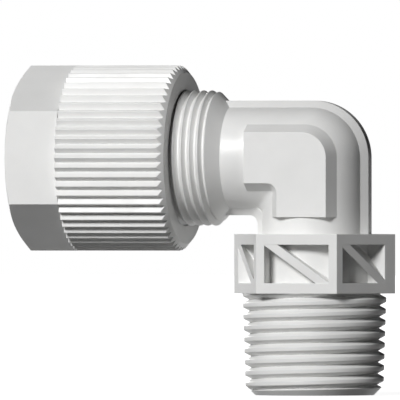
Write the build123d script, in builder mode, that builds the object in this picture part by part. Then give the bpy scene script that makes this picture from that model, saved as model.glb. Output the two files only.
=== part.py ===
"""Ninety degree angle nipple: a moulded elbow with a taper port thread, and a union nut for 10 mm tube.

The port end's mouth is centred on the origin and its leg rises along +Z. The tube arm leaves the
corner along -X, so "along" below is the distance from the leg's axis to a place on the arm. The
threads' helices are left out: each threaded face stands at its thread's major diameter.
"""

import os
from math import cos, radians, tan

from build123d import *

os.makedirs("parts", exist_ok=True)

# Elbow: two equal pipes that meet in a ball corner, with one passage through both
leg_height = 28.0
pipe_radius = 6.15
passage_radius = 4.0
mitre_fillet = 1.0

# Rib left by the mould's parting line, all round both sides of the elbow
rib_height = 0.615
rib_tip_width = 1.5
rib_inner_fillet = 1.0

# Flat raised pad on the front and the back of the corner
pad_width = 6.0
pad_rise = 0.2
pad_depth = 1.7
pad_reach = 7.0
pad_draft = 30.0
pad_inner_fillet = 1.2

# Port: R 3/8 male taper thread, 1 in 16 on the diameter
port_gauge_radius = 8.331
port_gauge_length = 6.4
port_length = 12.0
port_end_radius = 7.0
port_taper = 1 / 32

# Hexagonal spanner collar above the port thread, with moulding pockets
collar_across_flats = 17.0
collar_length = 7.0
collar_rim = 1.25
collar_core_radius = 7.0
collar_web = 3.0
pocket_front_width = 7.8
pocket_side_margin = 0.5
brace_width = 1.0
brace_angle = 35.5

# Stub: M16 x 1 thread on the arm, and the socket for the tube inside it
stub_radius = 8.0
stub_cone_start = 10.0
stub_end = 24.0
stub_chamfer = 0.8
tube_radius = 5.0
socket_clearance = 0.05
socket_stop = 12.5
mouth_radius = 6.3
mouth_angle = 12.0

# Clamp ring: an olive that the nut squeezes between two cones
ring_clearance = 0.1
ring_nose_wall = 0.3
ring_crest_radius = 6.5
ring_crest_length = 0.5
ring_tail_wall = 0.5
ring_seat_gap = 0.1
ring_final_gap = 0.06

# Union nut: knurled for the hand, then hexagonal for a spanner. It stands nut_to_go from tight.
nut_mouth = 15.75
nut_length = 19.61
nut_hand_length = 13.15
nut_across_flats = 19.0
nut_end_drop = 0.81
nut_chamfer = 0.7
nut_hex_chamfer = 0.6
nut_to_go = 1.5
nut_thread_clearance = 0.05
nut_thread_spare = 0.4
nut_relief = 0.7
nut_relief_depth = 0.15
nut_chamber_clearance = 0.5
nut_tube_clearance = 0.15
nut_tube_chamfer = 0.5
knurl_teeth = 60
knurl_radius = 10.96
knurl_depth = 0.54

# Radii and places that follow from the ones above
rib_radius = pipe_radius + rib_height
pad_face = pipe_radius + pad_rise
collar_top = port_length + collar_length
port_start_radius = port_gauge_radius - port_gauge_length * port_taper
port_top_radius = port_start_radius + port_length * port_taper
stub_start = stub_cone_start + stub_radius - pipe_radius
socket_radius = tube_radius + socket_clearance
mouth_slope = tan(radians(mouth_angle))
nut_end = nut_mouth + nut_length
hand_end = nut_mouth + nut_hand_length

# The arm's axis, a plane for its sections as (along, radius), and planes square to it
arm_axis = Axis((0, 0, leg_height), (-1, 0, 0))
arm_section = Plane((0, 0, leg_height), x_dir=(-1, 0, 0), z_dir=(0, 1, 0))
arm_outward = Plane((0, 0, leg_height), x_dir=(0, 0, 1), z_dir=(-1, 0, 0))

# The rib's outline is the elbow's own, one rib height larger. Its flanks slope at 45 degrees.
with BuildPart() as parting_rib:
    with BuildSketch(Plane.XZ) as rib_outline:
        with BuildLine():
            RadiusArc((rib_radius, leg_height), (0, leg_height + rib_radius), -rib_radius)
            Polyline((0, leg_height + rib_radius), (-stub_start, leg_height + rib_radius),
                     (-stub_start, leg_height - rib_radius))
            FilletPolyline((-stub_start, leg_height - rib_radius), (-rib_radius, leg_height - rib_radius),
                           (-rib_radius, collar_top - collar_rim), radius=rib_inner_fillet)
            Polyline((-rib_radius, collar_top - collar_rim), (rib_radius, collar_top - collar_rim),
                     (rib_radius, leg_height))
        make_face()
    extrude(amount=rib_tip_width / 2, both=True)
    with BuildSketch(Plane.XZ.offset(rib_tip_width / 2)):
        add(rib_outline.sketch_local)
    extrude(amount=2 * rib_height, taper=45)
    mirror(about=Plane.XZ)

# The pad is an L that follows both legs, with drafted walls and two ends cut square.
pad_spread = pad_depth * tan(radians(pad_draft))
pad_foot = pad_width / 2 + pad_spread
pad_far = pad_reach + 2 * pad_spread
with BuildPart() as corner_pads:
    with BuildSketch(Plane.XZ.offset(pad_face - pad_depth)):
        with BuildLine():
            RadiusArc((pad_foot, leg_height), (0, leg_height + pad_foot), -pad_foot)
            Polyline((0, leg_height + pad_foot), (-pad_far, leg_height + pad_foot),
                     (-pad_far, leg_height - pad_foot))
            FilletPolyline((-pad_far, leg_height - pad_foot), (-pad_foot, leg_height - pad_foot),
                           (-pad_foot, leg_height - pad_far), radius=pad_inner_fillet - pad_spread)
            Polyline((-pad_foot, leg_height - pad_far), (pad_foot, leg_height - pad_far),
                     (pad_foot, leg_height))
        make_face()
    extrude(amount=pad_depth, taper=pad_draft)
    split(bisect_by=Plane.YZ.offset(-pad_reach), keep=Keep.TOP)
    split(bisect_by=Plane.XY.offset(leg_height - pad_reach), keep=Keep.TOP)
    mirror(about=Plane.XZ)

# Each face of the collar has a window with a slanting brace across it. The mould opens along Y, so
# the pockets behind the windows run along Y, down to the round core and the web in the middle.
pocket_height = collar_length - 2 * collar_rim
pocket_middle = port_length + collar_length / 2
side_start = collar_across_flats / 2 * tan(radians(30)) + pocket_side_margin
side_end = collar_across_flats / 2 / cos(radians(30)) - collar_web / 2 * tan(radians(30))
side_middle = (side_start + side_end) / 2
with BuildPart() as collar_pockets:
    with BuildSketch(Plane.XZ.offset(collar_web / 2)):
        with Locations((0, pocket_middle)):
            Rectangle(pocket_front_width, pocket_height)
        with Locations((-side_middle, pocket_middle), (side_middle, pocket_middle)):
            Rectangle(side_end - side_start, pocket_height)
        with Locations((-side_middle, pocket_middle), (0, pocket_middle), (side_middle, pocket_middle)):
            Rectangle(3 * pocket_height, brace_width, rotation=-brace_angle, mode=Mode.SUBTRACT)
    extrude(amount=collar_across_flats)
    with Locations((0, 0, pocket_middle)):
        Cylinder(collar_core_radius, collar_length, mode=Mode.SUBTRACT)
    mirror(about=Plane.XZ)

# The elbow is one moulding: both pipes, the port thread, the collar and the threaded stub.
mouth_end = stub_end - (mouth_radius - socket_radius) / mouth_slope
with BuildPart() as elbow_body:
    with BuildSketch(Plane.XY.offset(port_length)):
        Circle(pipe_radius)
    extrude(amount=leg_height - port_length)
    with BuildSketch(arm_outward):
        Circle(pipe_radius)
    extrude(amount=stub_start)
    with Locations((0, 0, leg_height)):
        Sphere(pipe_radius)
    fillet(elbow_body.edges().filter_by(GeomType.ELLIPSE), radius=mitre_fillet)
    add(parting_rib.part)
    add(corner_pads.part)

    with BuildSketch(Plane.XY.offset(port_length)):
        RegularPolygon(collar_across_flats / 2, 6, major_radius=False)
    extrude(amount=collar_length)
    add(collar_pockets.part, mode=Mode.SUBTRACT)

    port_chamfer = (port_start_radius - port_end_radius) / (1 - port_taper)
    with BuildSketch(Plane.XZ):
        with BuildLine():
            Polyline((0, 0), (port_end_radius, 0), (port_end_radius + port_chamfer, port_chamfer),
                     (port_top_radius, port_length), (0, port_length), close=True)
        make_face()
    revolve(axis=Axis.Z)
    with BuildSketch(arm_section):
        with BuildLine():
            Polyline((stub_cone_start, 0), (stub_cone_start, pipe_radius), (stub_start, stub_radius),
                     (stub_end - stub_chamfer, stub_radius), (stub_end, stub_radius - stub_chamfer),
                     (stub_end, 0), close=True)
        make_face()
    revolve(axis=arm_axis)

    with BuildSketch(Plane.XY):
        Circle(passage_radius)
    extrude(amount=leg_height, mode=Mode.SUBTRACT)
    with Locations((0, 0, leg_height)):
        Sphere(passage_radius, mode=Mode.SUBTRACT)
    with BuildSketch(arm_section):
        with BuildLine():
            Polyline((0, 0), (0, passage_radius), (socket_stop, passage_radius),
                     (socket_stop, socket_radius), (mouth_end, socket_radius),
                     (stub_end, mouth_radius), (stub_end, 0), close=True)
        make_face()
    revolve(axis=arm_axis, mode=Mode.SUBTRACT)

# The ring's front cone matches the stub's mouth, and its tail matches the 45 degree seat in the nut.
# Its nose meets the mouth's cone when the nut has gone nut_to_go further.
ring_bore = tube_radius + ring_clearance
ring_nose_radius = ring_bore + ring_nose_wall
ring_tail_radius = ring_bore + ring_tail_wall
ring_nose = (stub_end - (mouth_radius - ring_nose_radius - ring_final_gap) / mouth_slope) + nut_to_go
ring_crest_start = ring_nose + (ring_crest_radius - ring_nose_radius) / mouth_slope
ring_crest_end = ring_crest_start + ring_crest_length
ring_tail = ring_crest_end + ring_crest_radius - ring_tail_radius
with BuildPart() as clamp_ring:
    with BuildSketch(arm_section):
        with BuildLine():
            Polyline((ring_nose, ring_bore), (ring_nose, ring_nose_radius),
                     (ring_crest_start, ring_crest_radius), (ring_crest_end, ring_crest_radius),
                     (ring_tail, ring_tail_radius), (ring_tail, ring_bore), close=True)
        make_face()
    revolve(axis=arm_axis)

# The nut's seat lies a seat gap behind the ring's tail. The thread ends in a relief before it, past
# the place that the stub's end reaches when the nut is tight.
nut_major = stub_radius + nut_thread_clearance
nut_tube_radius = tube_radius + nut_tube_clearance
chamber_radius = ring_crest_radius + nut_chamber_clearance
chamber_end = ring_crest_end - nut_chamber_clearance + ring_seat_gap / cos(radians(45))
relief_start = stub_end + nut_to_go + nut_thread_spare
with BuildPart() as union_nut:
    with BuildSketch(arm_section):
        with BuildLine():
            Polyline((nut_mouth, 0), (nut_mouth, knurl_radius - nut_end_drop),
                     (nut_mouth + nut_chamfer, knurl_radius), (hand_end, knurl_radius), (hand_end, 0),
                     close=True)
        make_face()
    revolve(axis=arm_axis)
    with BuildSketch(arm_outward.offset(nut_mouth)):
        with PolarLocations(knurl_radius - knurl_depth, knurl_teeth, start_angle=180 / knurl_teeth):
            Polygon((0, 0), (2 * knurl_depth, -2 * knurl_depth), (2 * knurl_depth, 2 * knurl_depth),
                    align=None)
    extrude(amount=nut_hand_length, mode=Mode.SUBTRACT)

    with BuildSketch(arm_outward.offset(hand_end)):
        RegularPolygon(nut_across_flats / 2, 6, major_radius=False)
    extrude(amount=nut_end - hand_end)
    corner_radius = nut_across_flats / 2 / cos(radians(30))
    with BuildSketch(arm_section):
        with BuildLine():
            Polyline((nut_end, nut_across_flats / 2), (nut_end, 2 * corner_radius - nut_across_flats / 2),
                     (nut_end - 2 * nut_hex_chamfer, 2 * corner_radius - nut_across_flats / 2), close=True)
        make_face()
    revolve(axis=arm_axis, mode=Mode.SUBTRACT)

    with BuildSketch(arm_section):
        with BuildLine():
            Polyline((nut_mouth, 0), (nut_mouth, nut_major),
                     (relief_start, nut_major), (relief_start, nut_major + nut_relief_depth),
                     (relief_start + nut_relief, nut_major + nut_relief_depth),
                     (relief_start + nut_relief, chamber_radius), (chamber_end, chamber_radius),
                     (chamber_end + chamber_radius - nut_tube_radius, nut_tube_radius),
                     (nut_end - nut_tube_chamfer, nut_tube_radius),
                     (nut_end, nut_tube_radius + nut_tube_chamfer), (nut_end, 0), close=True)
        make_face()
    revolve(axis=arm_axis, mode=Mode.SUBTRACT)

elbow_body.part.label = "elbow_body"
clamp_ring.part.label = "clamp_ring"
union_nut.part.label = "union_nut"
export_step(elbow_body.part, "parts/elbow_body.step")
export_step(clamp_ring.part, "parts/clamp_ring.step")
export_step(union_nut.part, "parts/union_nut.step")
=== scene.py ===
"""Looks of the ninety degree angle nipple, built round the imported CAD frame.

The CAD solids carry every form but the threads, whose faces stand at their major diameters. Here the
elbow gets its two outer threads, and a brace from corner to corner in each window of its collar. The
nut gets its inner thread. All three pieces come in moulded plastic, and the light follows the
photograph: one soft key from the front, a little high and to the left. A weaker lamp behind keeps the
back readable.
"""

from math import cos, pi, radians, sin, sqrt, tan

import bmesh
import bpy
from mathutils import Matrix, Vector


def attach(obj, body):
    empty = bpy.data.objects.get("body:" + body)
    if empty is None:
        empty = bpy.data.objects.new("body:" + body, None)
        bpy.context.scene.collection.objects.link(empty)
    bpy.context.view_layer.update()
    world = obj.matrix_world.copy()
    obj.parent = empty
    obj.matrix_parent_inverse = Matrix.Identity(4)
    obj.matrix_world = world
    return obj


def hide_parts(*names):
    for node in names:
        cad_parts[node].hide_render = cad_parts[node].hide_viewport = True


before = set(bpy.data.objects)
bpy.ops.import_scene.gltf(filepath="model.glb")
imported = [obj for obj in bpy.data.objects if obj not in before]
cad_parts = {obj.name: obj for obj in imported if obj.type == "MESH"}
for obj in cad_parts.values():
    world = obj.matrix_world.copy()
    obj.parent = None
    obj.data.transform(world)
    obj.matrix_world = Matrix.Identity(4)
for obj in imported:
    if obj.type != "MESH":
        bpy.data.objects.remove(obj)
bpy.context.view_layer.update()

# Lengths below are in millimetres, and MM takes them to metres. Angles are in degrees. The leg rises
# along Z from the origin, and the arm leaves it along -X at this height.
MM = 0.001
LEG_HEIGHT = 28.0

# Port thread: R 3/8, right-hand. Its turns count from a first groove below the port's end, and it stops
# at the collar. Its moulded crests are broad and round, as the photograph shows.
PORT_PITCH = 1.337
PORT_TAPER = 1 / 32
PORT_GAUGE_RADIUS = 8.331
PORT_GAUGE_LENGTH = 6.4
PORT_END_RADIUS = PORT_GAUGE_RADIUS - PORT_GAUGE_LENGTH * PORT_TAPER
PORT_DEPTH = 0.75
PORT_FLANK = 27.5
PORT_ROOT_HALF = 0.03
PORT_CREST_ROUND = 0.15
PORT_LENGTH = 12.0
PORT_FIRST_GROOVE = -1.5
PORT_TURNS = (-0.5, 11.0)

# Stub and nut thread: M16 x 1, right-hand. Its turns count from a groove in the arm's front.
STUB_PITCH = 1.0
STUB_RADIUS = 8.0
STUB_DEPTH = 0.613
STUB_FLANK = 30.0
STUB_ROOT_HALF = 0.0836
STUB_CREST_ROUND = 0.05
STUB_FIRST_GROOVE = 12.77
STUB_TURNS = (-2.5, 12.5)
NUT_BORE = STUB_RADIUS + 0.05
RIDGE_TIP = STUB_RADIUS - STUB_DEPTH + 0.07
RIDGE_TIP_HALF = 0.075
RIDGE_BURIED = 0.08
RIDGE_TURNS = (3.6, 12.6)
RIDGE_END = 25.9

# Each helix has this many sections a turn and these steps round a crest. A groove's bar stands this
# much above the crest that it cuts.
TURN_SECTIONS = 96
CREST_STEPS = 6
GROOVE_LIFT = 0.05

# Collar: its windows lie between these places along X. In each, a brace of this width falls to the
# right at this angle in its own face. The pockets behind run along Y to the round core and the web.
COLLAR_APOTHEM = 8.5
COLLAR_LENGTH = 7.0
COLLAR_RIM = 1.25
COLLAR_CORE_RADIUS = 7.0
COLLAR_WEB_HALF = 1.5
SIDE_TURN = 60.0
SIDE_MARGIN = 0.5
FRONT_HALF = 3.9
SIDE_START = COLLAR_APOTHEM * tan(radians(30)) + SIDE_MARGIN
SIDE_END = COLLAR_APOTHEM / cos(radians(30)) - COLLAR_WEB_HALF * tan(radians(30))
WINDOWS = ((-SIDE_END, -SIDE_START), (-FRONT_HALF, FRONT_HALF), (SIDE_START, SIDE_END))
WINDOW_MIDDLE = PORT_LENGTH + COLLAR_LENGTH / 2
WINDOW_HALF_HEIGHT = COLLAR_LENGTH / 2 - COLLAR_RIM
BRACE_ANGLE = 35.5
BRACE_WIDTH = 1.0

# A pocket is cut a hair larger than the solid's own, in steps round the core, and a millimetre past the
# collar. A brace is buried in the frame round it and in the core or the web, and stands back a little.
POCKET_HAIR = 0.01
POCKET_STEPS = 24
POCKET_OVERSHOOT = 1.0
BRACE_BURIED = 0.3
BRACE_RECESS = 0.02
FRONT_BRACE_ROOT = 5.0
SIDE_BRACE_ROOT = 0.5

# Edges that turn by more than this shade sharp. The welds are in metres: one joins the CAD mesh's faces,
# and the finer one cleans a cut.
SHARP_ANGLE = 14.0
CAD_WELD = 2e-7
CUT_WELD = 2e-8

# Floor: how far it lies under the port, and the patch round the object where its shadow shows and fades
FLOOR_HALF = 3000.0
FLOOR_DROP = 0.02
FLOOR_BOUNCE = 0.1
FLOOR_GLOW = 1.3
SHADOW_GREY = 0.8
SHADOW_SHARE = 0.3
SHADOW_START = 30.0
SHADOW_END = 110.0

# Camera: the photograph's level view. The frame's middle is told by its place to the right and its
# height, and the lens is long enough for a parallel view.
CAMERA_AZIMUTH = 15.0
CAMERA_LENS = 1500.0
CAMERA_SENSOR = 36.0
FRAME_WIDTH = 47.23
FRAME_RIGHT = -13.53
FRAME_HEIGHT = 23.03
LAMP_TARGET = (-13.5, 0.0, 22.0)


# Places on the two legs
def on_leg(along, radius, angle):
    """A point by its height, radius and angle round the port leg. Angle 0 is at +X."""
    return Vector((radius * cos(angle), radius * sin(angle), along)) * MM


def on_arm(along, radius, angle):
    """A point by its distance out along the arm, radius and angle. Angle 0 is at the front."""
    return Vector((-along, -radius * cos(angle), LEG_HEIGHT + radius * sin(angle))) * MM


# Meshes
def mark_sharp(bm):
    """Shades the mesh smooth but for its sharp edges."""
    for face in bm.faces:
        face.smooth = True
    for edge in bm.edges:
        edge.smooth = len(edge.link_faces) == 2 and edge.calc_face_angle(0) < radians(SHARP_ANGLE)


def link(name, bm):
    """Makes an object of the mesh, with its normals outward."""
    bmesh.ops.recalc_face_normals(bm, faces=bm.faces)
    mark_sharp(bm)
    mesh = bpy.data.meshes.new(name)
    bm.to_mesh(mesh)
    bm.free()
    obj = bpy.data.objects.new(name, mesh)
    bpy.context.scene.collection.objects.link(obj)
    return obj


def closed_copy(node, name):
    """A copy of a CAD node with the vertices along its edges merged."""
    bm = bmesh.new()
    bm.from_mesh(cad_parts[node].data)
    bmesh.ops.remove_doubles(bm, verts=bm.verts, dist=CAD_WELD)
    return link(name, bm)


def boolean(obj, tool, operation):
    """Cuts or joins the tool for good, and removes it."""
    step = obj.modifiers.new("step", "BOOLEAN")
    step.operation = operation
    step.solver = "EXACT"
    step.object = tool
    graph = bpy.context.evaluated_depsgraph_get()
    made = bpy.data.meshes.new_from_object(obj.evaluated_get(graph), depsgraph=graph)
    obj.modifiers.clear()
    obj.data = made
    bpy.data.objects.remove(tool)
    bm = bmesh.new()
    bm.from_mesh(made)
    bmesh.ops.remove_doubles(bm, verts=bm.verts, dist=CUT_WELD)
    bmesh.ops.dissolve_degenerate(bm, edges=bm.edges, dist=CUT_WELD)
    mark_sharp(bm)
    bm.to_mesh(made)
    bm.free()


def join_rings(bm, rings):
    """Walls between each ring of vertices and the next, and a cap on the first and the last."""
    for ring, following in zip(rings, rings[1:]):
        for one in range(len(ring)):
            two = (one + 1) % len(ring)
            bm.faces.new((ring[one], ring[two], following[two], following[one]))
    bm.faces.new(rings[0])
    bm.faces.new(rings[-1])


def cut_off(bm, point, outward):
    """Cuts away what lies beyond the plane and closes the cut."""
    found = bmesh.ops.bisect_plane(bm, geom=bm.verts[:] + bm.edges[:] + bm.faces[:], dist=1e-9,
                                   plane_co=point, plane_no=outward, clear_outer=True)
    edges = [e for e in found["geom_cut"] if isinstance(e, bmesh.types.BMEdge)]
    bmesh.ops.holes_fill(bm, edges=edges, sides=0)


# Threads
def mirrored(half):
    """A closed profile from its right half, given as (along, radius) pairs."""
    return half + [(-along, radius) for along, radius in reversed(half)]


def groove_profile(crest, depth, flank, root_half, crest_round):
    """The section of a thread's groove, open above the crest and rounded over its edges."""
    turn = 90 - flank
    outer = root_half + depth * tan(radians(flank)) + crest_round * tan(radians(turn / 2))
    half = [(outer, crest + GROOVE_LIFT)]
    for step in range(1, CREST_STEPS + 1):
        angle = radians(turn * step / CREST_STEPS)
        half.append((outer - crest_round * sin(angle), crest - crest_round * (1 - cos(angle))))
    half.append((root_half, crest - depth))
    return mirrored(half)


def ridge_profile():
    """The section of the nut's ridge, from its tip to its foot inside the nut's wall."""
    foot = NUT_BORE + RIDGE_BURIED
    foot_half = RIDGE_TIP_HALF + (foot - RIDGE_TIP) * tan(radians(STUB_FLANK))
    return mirrored([(foot_half, foot), (RIDGE_TIP_HALF, RIDGE_TIP)])


def helix(place, profile, first_groove, pitch, turns, taper=0.0):
    """A closed helical bar of the profile, whose radii grow by the taper along the axis."""
    start, end = turns
    bm = bmesh.new()
    rings = []
    for step in range(round((end - start) * TURN_SECTIONS) + 1):
        turn = start + step / TURN_SECTIONS
        middle = first_groove + pitch * turn
        ring = []
        for off_middle, radius in profile:
            along = middle + off_middle
            ring.append(bm.verts.new(place(along, radius + taper * along, 2 * pi * turn)))
        rings.append(ring)
    join_rings(bm, rings)
    return bm


# Windows of the collar
def prism(first, second):
    """A closed prism between two outlines of matching points."""
    bm = bmesh.new()
    join_rings(bm, [[bm.verts.new(Vector(point) * MM) for point in outline] for outline in (first, second)])
    return bm


def pocket(left, right, side):
    """The space behind one window, down to the core and the web."""
    start, end = left - POCKET_HAIR, right + POCKET_HAIR
    core = COLLAR_CORE_RADIUS - POCKET_HAIR
    web = COLLAR_WEB_HALF - POCKET_HAIR
    open_side = COLLAR_APOTHEM + POCKET_OVERSHOOT
    outline = []
    for step in range(POCKET_STEPS + 1):
        x = start + (end - start) * step / POCKET_STEPS
        on_core = sqrt(max(core * core - x * x, 0))
        outline.append((x, side * max(web, on_core)))
    outline += [(end, side * open_side), (start, side * open_side)]
    low = WINDOW_MIDDLE - WINDOW_HALF_HEIGHT - POCKET_HAIR
    high = WINDOW_MIDDLE + WINDOW_HALF_HEIGHT + POCKET_HAIR
    return link("pocket", prism([(x, y, low) for x, y in outline], [(x, y, high) for x, y in outline]))


def brace(left, right, side):
    """The slanting brace across one window, out to the collar's face."""
    on_side = left * right > 0
    steeper = 1 / cos(radians(SIDE_TURN)) if on_side else 1
    slope = tan(radians(BRACE_ANGLE)) * steeper
    half_height = BRACE_WIDTH / 2 / cos(radians(BRACE_ANGLE))
    root = SIDE_BRACE_ROOT if on_side else FRONT_BRACE_ROOT

    def face(x):
        """How far the collar's face is from the middle plane at this place."""
        if on_side:
            return (COLLAR_APOTHEM - abs(x) * sin(radians(SIDE_TURN))) / cos(radians(SIDE_TURN))
        return COLLAR_APOTHEM

    start, end = left - BRACE_BURIED, right + BRACE_BURIED
    rise = slope * (end - start) / 2
    outline = [(start, WINDOW_MIDDLE + rise - half_height), (start, WINDOW_MIDDLE + rise + half_height),
               (end, WINDOW_MIDDLE - rise + half_height), (end, WINDOW_MIDDLE - rise - half_height)]
    bm = prism([(x, side * root, z) for x, z in outline],
               [(x, side * (face(x) - BRACE_RECESS), z) for x, z in outline])
    reach = WINDOW_HALF_HEIGHT + BRACE_BURIED
    cut_off(bm, Vector((0, 0, WINDOW_MIDDLE + reach)) * MM, Vector((0, 0, 1)))
    cut_off(bm, Vector((0, 0, WINDOW_MIDDLE - reach)) * MM, Vector((0, 0, -1)))
    return link("brace", bm)


# Pieces
def make_elbow():
    """The elbow with a brace in each window and both outer threads cut."""
    obj = closed_copy("elbow_body", "threaded_elbow")
    for left, right in WINDOWS:
        for side in (-1, 1):
            boolean(obj, pocket(left, right, side), "DIFFERENCE")
            boolean(obj, brace(left, right, side), "UNION")
    profile = groove_profile(PORT_END_RADIUS, PORT_DEPTH, PORT_FLANK, PORT_ROOT_HALF, PORT_CREST_ROUND)
    groove = helix(on_leg, profile, PORT_FIRST_GROOVE, PORT_PITCH, PORT_TURNS, PORT_TAPER)
    cut_off(groove, Vector((0, 0, PORT_LENGTH)) * MM, Vector((0, 0, 1)))
    boolean(obj, link("port_groove", groove), "DIFFERENCE")
    profile = groove_profile(STUB_RADIUS, STUB_DEPTH, STUB_FLANK, STUB_ROOT_HALF, STUB_CREST_ROUND)
    groove = helix(on_arm, profile, STUB_FIRST_GROOVE, STUB_PITCH, STUB_TURNS)
    boolean(obj, link("stub_groove", groove), "DIFFERENCE")
    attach(obj, "elbow")
    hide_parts("elbow_body")
    return obj


def make_nut():
    """The union nut with its inner thread, a ridge that runs in the stub's groove."""
    obj = closed_copy("union_nut", "threaded_nut")
    ridge = helix(on_arm, ridge_profile(), STUB_FIRST_GROOVE, STUB_PITCH, RIDGE_TURNS)
    cut_off(ridge, on_arm(RIDGE_END, 0, 0), Vector((-1, 0, 0)))
    boolean(obj, link("nut_ridge", ridge), "UNION")
    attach(obj, "nut")
    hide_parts("union_nut")
    return obj


# Materials
def put(node, values):
    """Sets a node's inputs by their names."""
    for name, value in values.items():
        node.inputs[name].default_value = value


def moulded_plastic(name, colour, roughness, edge_round):
    """Natural plastic: a faint cloud in its colour, uneven gloss, fine mould grain and rounded edges."""
    material = bpy.data.materials.new(name)
    material.use_nodes = True
    nodes, links = material.node_tree.nodes, material.node_tree.links
    shader = nodes["Principled BSDF"]
    put(shader, {"IOR": 1.49, "Subsurface Weight": 0.08, "Subsurface Radius": (1.0, 0.95, 0.85),
                 "Subsurface Scale": 0.4 * MM})
    place = nodes.new("ShaderNodeTexCoord")

    def noise(scale, detail):
        """A cloud of noise with this many waves to the metre."""
        found = nodes.new("ShaderNodeTexNoise")
        put(found, {"Scale": scale, "Detail": detail})
        links.new(place.outputs["Object"], found.inputs["Vector"])
        return found.outputs["Fac"]

    def spread(value, low, high):
        """The middle of the noise, stretched to run from low to high."""
        found = nodes.new("ShaderNodeMapRange")
        put(found, {"From Min": 0.3, "From Max": 0.7, "To Min": low, "To Max": high})
        links.new(value, found.inputs["Value"])
        return found.outputs["Result"]

    def bump(height, distance, strength, normal):
        """A bump of this depth over the normal that it is given."""
        found = nodes.new("ShaderNodeBump")
        put(found, {"Strength": strength, "Distance": distance * MM})
        links.new(height, found.inputs["Height"])
        links.new(normal, found.inputs["Normal"])
        return found.outputs["Normal"]

    cloud = nodes.new("ShaderNodeMix")
    cloud.data_type = "RGBA"
    put(cloud, {"A": (*[channel * 0.965 for channel in colour], 1),
                "B": (*[channel * 1.02 for channel in colour], 1)})
    links.new(spread(noise(190.0, 4.0), 0.0, 1.0), cloud.inputs["Factor"])
    links.new(cloud.outputs["Result"], shader.inputs["Base Color"])
    links.new(spread(noise(520.0, 5.0), roughness - 0.06, roughness + 0.08), shader.inputs["Roughness"])

    edges = nodes.new("ShaderNodeBevel")
    edges.samples = 6
    put(edges, {"Radius": edge_round * MM})
    waves = bump(noise(260.0, 2.0), 0.02, 0.5, edges.outputs["Normal"])
    grain = bump(noise(4200.0, 3.0), 0.012, 0.4, waves)
    links.new(grain, shader.inputs["Normal"])
    return material


def dress(obj, material):
    """Gives the whole object one material."""
    if not obj.material_slots:
        obj.data.materials.append(material)
    for place in obj.material_slots:
        place.material = material


# Floor, world, light and camera
def blend(nodes, links, share, first, second):
    """A mix of two shaders, with this share of the second."""
    mix = nodes.new("ShaderNodeMixShader")
    links.new(share, mix.inputs[0])
    links.new(first, mix.inputs[1])
    links.new(second, mix.inputs[2])
    return mix.outputs[0]


def camera_mix(nodes, links, plain, white):
    """A shader that is white to the camera and in reflections, and plain to all other light."""
    path = nodes.new("ShaderNodeLightPath")
    seen = path.outputs["Is Camera Ray"]
    for kind in ("Is Glossy Ray", "Is Transmission Ray"):
        either = nodes.new("ShaderNodeMath")
        either.operation = "MAXIMUM"
        links.new(seen, either.inputs[0])
        links.new(path.outputs[kind], either.inputs[1])
        seen = either.outputs[0]
    return blend(nodes, links, seen, plain, white)


def make_floor():
    """A white floor a hair under the port's end, which takes the object's shadow near it."""
    bm = bmesh.new()
    bmesh.ops.create_grid(bm, x_segments=1, y_segments=1, size=FLOOR_HALF * MM)
    obj = link("floor", bm)
    obj.location.z = -FLOOR_DROP * MM
    material = bpy.data.materials.new("floor_white")
    material.use_nodes = True
    nodes, links = material.node_tree.nodes, material.node_tree.links
    nodes.clear()
    plain = nodes.new("ShaderNodeBsdfDiffuse")
    put(plain, {"Color": (FLOOR_BOUNCE, FLOOR_BOUNCE, FLOOR_BOUNCE, 1)})
    shade = nodes.new("ShaderNodeBsdfDiffuse")
    put(shade, {"Color": (SHADOW_GREY, SHADOW_GREY, SHADOW_GREY, 1)})
    glow = nodes.new("ShaderNodeEmission")
    put(glow, {"Strength": FLOOR_GLOW})
    place = nodes.new("ShaderNodeTexCoord")
    reach = nodes.new("ShaderNodeVectorMath")
    reach.operation = "LENGTH"
    links.new(place.outputs["Object"], reach.inputs[0])
    fade = nodes.new("ShaderNodeMapRange")
    put(fade, {"From Min": SHADOW_START * MM, "From Max": SHADOW_END * MM,
               "To Min": SHADOW_SHARE, "To Max": 0.0})
    links.new(reach.outputs["Value"], fade.inputs["Value"])
    shadowed = blend(nodes, links, fade.outputs["Result"], glow.outputs[0], shade.outputs[0])
    out = nodes.new("ShaderNodeOutputMaterial")
    links.new(camera_mix(nodes, links, plain.outputs[0], shadowed), out.inputs["Surface"])
    dress(obj, material)


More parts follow.
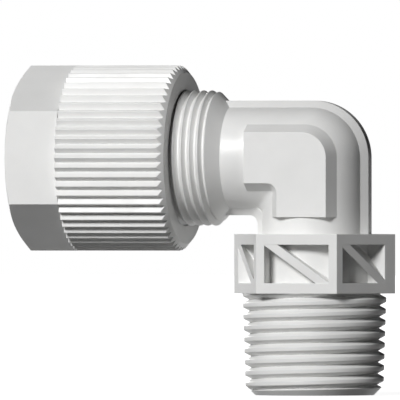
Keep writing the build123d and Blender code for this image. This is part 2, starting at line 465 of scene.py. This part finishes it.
def make_world(strength):
    """A dim even sky that is white to the camera."""
    world = bpy.data.worlds.new("studio")
    bpy.context.scene.world = world
    world.use_nodes = True
    nodes, links = world.node_tree.nodes, world.node_tree.links
    nodes.clear()
    dim = nodes.new("ShaderNodeBackground")
    put(dim, {"Color": (1, 1, 1, 1), "Strength": strength})
    white = nodes.new("ShaderNodeBackground")
    put(white, {"Color": (1, 1, 1, 1), "Strength": 1.0})
    path = nodes.new("ShaderNodeLightPath")
    out = nodes.new("ShaderNodeOutputWorld")
    sky = blend(nodes, links, path.outputs["Is Camera Ray"], dim.outputs[0], white.outputs[0])
    links.new(sky, out.inputs["Surface"])


def aim(obj, target, back, distance):
    """Places a lamp or camera at the distance from its target, looking at it."""
    obj.location = target + back * distance
    obj.rotation_mode = "QUATERNION"
    obj.rotation_quaternion = (-back).to_track_quat("-Z", "Y")
    bpy.context.scene.collection.objects.link(obj)


def make_lamp(name, direction, distance, size, power):
    """A soft square lamp that looks at the object's middle, placed in metres."""
    light = bpy.data.lights.new(name, "AREA")
    light.size = size
    light.energy = power
    obj = bpy.data.objects.new(name, light)
    obj.visible_camera = False
    aim(obj, Vector(LAMP_TARGET) * MM, Vector(direction).normalized(), distance)


def make_camera():
    """The camera of the photograph's view."""
    azimuth = radians(CAMERA_AZIMUTH)
    right = Vector((cos(azimuth), sin(azimuth), 0))
    back = Vector((sin(azimuth), -cos(azimuth), 0))
    camera = bpy.data.cameras.new("camera")
    camera.lens = CAMERA_LENS
    camera.sensor_width = CAMERA_SENSOR
    camera.clip_start = 0.1
    camera.clip_end = 10.0
    obj = bpy.data.objects.new("camera", camera)
    middle = (right * FRAME_RIGHT + Vector((0, 0, FRAME_HEIGHT))) * MM
    aim(obj, middle, back, FRAME_WIDTH * MM * CAMERA_LENS / CAMERA_SENSOR)
    bpy.context.scene.camera = obj


dress(make_elbow(), moulded_plastic("body_plastic", (0.86, 0.86, 0.85), roughness=0.40, edge_round=0.10))
dress(make_nut(), moulded_plastic("nut_plastic", (0.86, 0.86, 0.85), roughness=0.40, edge_round=0.08))
dress(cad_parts["clamp_ring"],
      moulded_plastic("ring_plastic", (0.80, 0.80, 0.77), roughness=0.22, edge_round=0.05))
make_floor()
make_world(strength=0.012)
make_lamp("key", direction=(-0.2, -0.86, 0.44), distance=0.8, size=0.2, power=5.7)
make_lamp("behind", direction=(-0.55, 0.8, 0.3), distance=0.8, size=0.3, power=2.6)
make_camera()
bpy.context.scene.view_settings.view_transform = "Standard"
